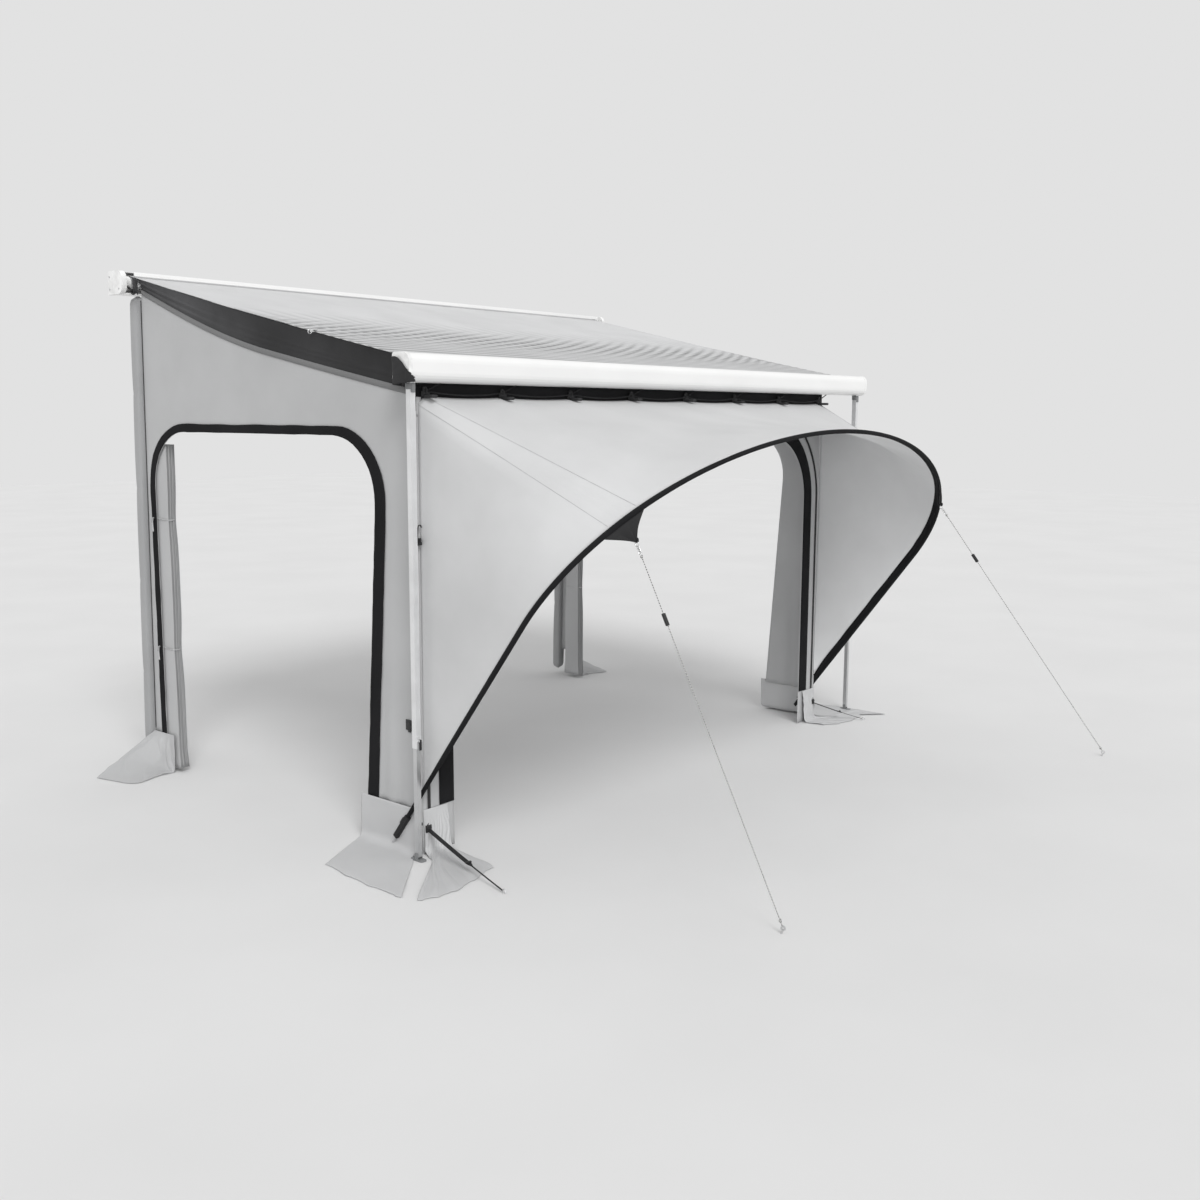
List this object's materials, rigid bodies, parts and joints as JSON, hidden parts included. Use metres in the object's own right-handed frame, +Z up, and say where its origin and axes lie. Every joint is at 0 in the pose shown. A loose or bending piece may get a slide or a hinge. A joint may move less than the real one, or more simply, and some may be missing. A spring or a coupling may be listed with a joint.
{
  "type": "awning tent",
  "caption": "Folding-arm awning in a wall cassette with legs, a hooked-in tent room with side doorways and an arched front doorway, and a guyed porch hood on a bent pole.",
  "frame": {"origin": "middle of the middle wall bracket's back face, where the cassette is bolted to the vehicle, 2.8365 m above the ground", "axes": "+X along the vehicle, to the right for someone outside who faces it, +Y into the vehicle, +Z up"},
  "size_m": [4.5115, 4.3682, 3.1081],
  "materials": {
    "powder_coat_white": "white satin powder coat",
    "plastic_white": "fine moulded grain",
    "aluminium": "anodised, satin",
    "steel": "galvanised",
    "plastic_black": "moulded",
    "plastic_grey": "moulded",
    "roof_fabric": "coated canvas",
    "wall_fabric": "woven polyester",
    "hood_fabric": "woven polyester",
    "dark_fabric": "coarse woven polyester",
    "gusset_fabric": "woven polyester",
    "pad_fabric": "padded, quilted",
    "rope": "braided, flecked",
    "webbing": "woven webbing"
  },
  "bodies": {
    "cassette": {"cassette_housing": "powder_coat_white", "winding_gearbox": "plastic_grey", "wall_bracket_left": "aluminium", "wall_bracket_middle": "aluminium", "wall_bracket_right": "aluminium", "cassette_end_cap_left": "plastic_white", "cassette_end_cap_right": "plastic_white", "shoulder_bracket_left": "aluminium", "shoulder_bracket_right": "aluminium", "rear_pad_left": "pad_fabric", "rear_pad_right": "pad_fabric", "roof_cloth": "roof_fabric", "gusset_left": "gusset_fabric", "gusset_right": "gusset_fabric", "side_wall_left": "wall_fabric", "side_wall_right": "wall_fabric", "door_trim_left": "dark_fabric", "door_trim_right": "dark_fabric", "door_curtain_left": "wall_fabric", "door_curtain_right": "wall_fabric", "side_flap_left": "wall_fabric", "side_flap_right": "wall_fabric", "rear_flap_left": "wall_fabric", "rear_flap_right": "wall_fabric"},
    "roller": {"roller_tube": "aluminium"},
    "crank": {"crank_eye": "plastic_black"},
    "left_upper_arm": {"upper_arm_left": "aluminium"},
    "right_upper_arm": {"upper_arm_right": "aluminium"},
    "left_forearm": {"forearm_left": "aluminium"},
    "right_forearm": {"forearm_right": "aluminium"},
    "rail_and_front": {"lead_rail": "powder_coat_white", "front_wall": "wall_fabric", "front_door_trim": "dark_fabric", "front_band": "dark_fabric", "hood": "hood_fabric", "hood_sleeve": "dark_fabric", "hood_pole": "steel", "wrist_bracket_left": "aluminium", "wrist_bracket_right": "aluminium", "rail_end_cap_left": "plastic_white", "rail_end_cap_right": "plastic_white", "outer_leg_left": "aluminium", "outer_leg_right": "aluminium", "guy_patch_left": "dark_fabric", "guy_patch_right": "dark_fabric", "guy_rope_left": "rope", "guy_rope_right": "rope", "guy_peg_left": "steel", "guy_peg_right": "steel", "corner_strap_left": "webbing", "corner_strap_right": "webbing"},
    "left_leg_slide": {"inner_leg_left": "steel"},
    "left_foot": {"foot_left": "plastic_grey"},
    "left_leg_clamp": {"leg_clamp_lever_left": "plastic_black"},
    "left_guy_slider": {"guy_slider_left": "plastic_black"},
    "right_leg_slide": {"inner_leg_right": "steel"},
    "right_foot": {"foot_right": "plastic_grey"},
    "right_leg_clamp": {"leg_clamp_lever_right": "plastic_black"},
    "right_guy_slider": {"guy_slider_right": "plastic_black"}
  },
  "joints": [
    {"name": "awning_fold", "type": "hinge", "parent": "cassette", "child": "left_upper_arm", "pos_m": [-1.55, -0.13, -0.1215], "axis": [0, -0.1672, 0.9859], "range_deg": [0, 72], "deforming": ["roof_cloth", "gusset_left", "gusset_right", "side_wall_left", "side_wall_right", "door_trim_left", "door_trim_right", "door_curtain_left", "door_curtain_right", "side_flap_left", "side_flap_right", "rear_flap_left", "rear_flap_right"]},
    {"name": "left_elbow", "type": "hinge", "parent": "left_upper_arm", "child": "left_forearm", "pos_m": [-1.24154, -1.265, -0.314], "axis": [0, -0.1672, 0.9859], "range_deg": [-144, 0]},
    {"name": "left_wrist", "type": "hinge", "parent": "left_forearm", "child": "rail_and_front", "pos_m": [-1.55, -2.4, -0.5065], "axis": [0, -0.1672, 0.9859], "range_deg": [0, 72]},
    {"name": "right_shoulder", "type": "hinge", "parent": "cassette", "child": "right_upper_arm", "pos_m": [1.55, -0.13, -0.1215], "axis": [0, -0.1672, 0.9859], "range_deg": [-72, 0]},
    {"name": "right_elbow", "type": "hinge", "parent": "right_upper_arm", "child": "right_forearm", "pos_m": [1.24154, -1.265, -0.314], "axis": [0, -0.1672, 0.9859], "range_deg": [0, 144]},
    {"name": "roller_spin", "type": "hinge", "parent": "cassette", "child": "roller", "pos_m": [0, -0.0883, 0.0005], "axis": [1, 0, 0], "continuous": true},
    {"name": "crank_spin", "type": "hinge", "parent": "cassette", "child": "crank", "pos_m": [-2.0567, -0.0883, 0.0005], "axis": [0, -0.866, -0.5], "continuous": true},
    {"name": "left_leg_length", "type": "slide", "parent": "rail_and_front", "child": "left_leg_slide", "axis": [0, 0, 1], "range_m": [0, 0.5]},
    {"name": "left_foot_tilt", "type": "hinge", "parent": "left_leg_slide", "child": "left_foot", "pos_m": [-2.055, -2.5, -2.8085], "axis": [1, 0, 0], "range_deg": [-15, 15]},
    {"name": "left_leg_clamp_lever", "type": "hinge", "parent": "rail_and_front", "child": "left_leg_clamp", "pos_m": [-2.055, -2.5246, -2.2465], "axis": [-1, 0, 0], "range_deg": [0, 110]},
    {"name": "left_guy_slide", "type": "slide", "parent": "rail_and_front", "child": "left_guy_slider", "axis": [0.0047, -0.452, -0.892], "range_m": [-0.25, 1]},
    {"name": "right_leg_length", "type": "slide", "parent": "rail_and_front", "child": "right_leg_slide", "axis": [0, 0, 1], "range_m": [0, 0.5]},
    {"name": "right_foot_tilt", "type": "hinge", "parent": "right_leg_slide", "child": "right_foot", "pos_m": [2.055, -2.5, -2.8085], "axis": [1, 0, 0], "range_deg": [-15, 15]},
    {"name": "right_leg_clamp_lever", "type": "hinge", "parent": "rail_and_front", "child": "right_leg_clamp", "pos_m": [2.055, -2.5246, -2.2465], "axis": [-1, 0, 0], "range_deg": [0, 110]},
    {"name": "right_guy_slide", "type": "slide", "parent": "rail_and_front", "child": "right_guy_slider", "axis": [0.3487, -0.4553, -0.8192], "range_m": [-0.25, 1]}
  ],
  "couplings": [
    {"joint": "left_elbow", "follows": "awning_fold", "ratio": -2},
    {"joint": "left_wrist", "follows": "awning_fold", "ratio": 1},
    {"joint": "right_shoulder", "follows": "awning_fold", "ratio": -1},
    {"joint": "right_elbow", "follows": "awning_fold", "ratio": 2},
    {"joint": "crank_spin", "follows": "roller_spin", "ratio": 7}
  ]
}
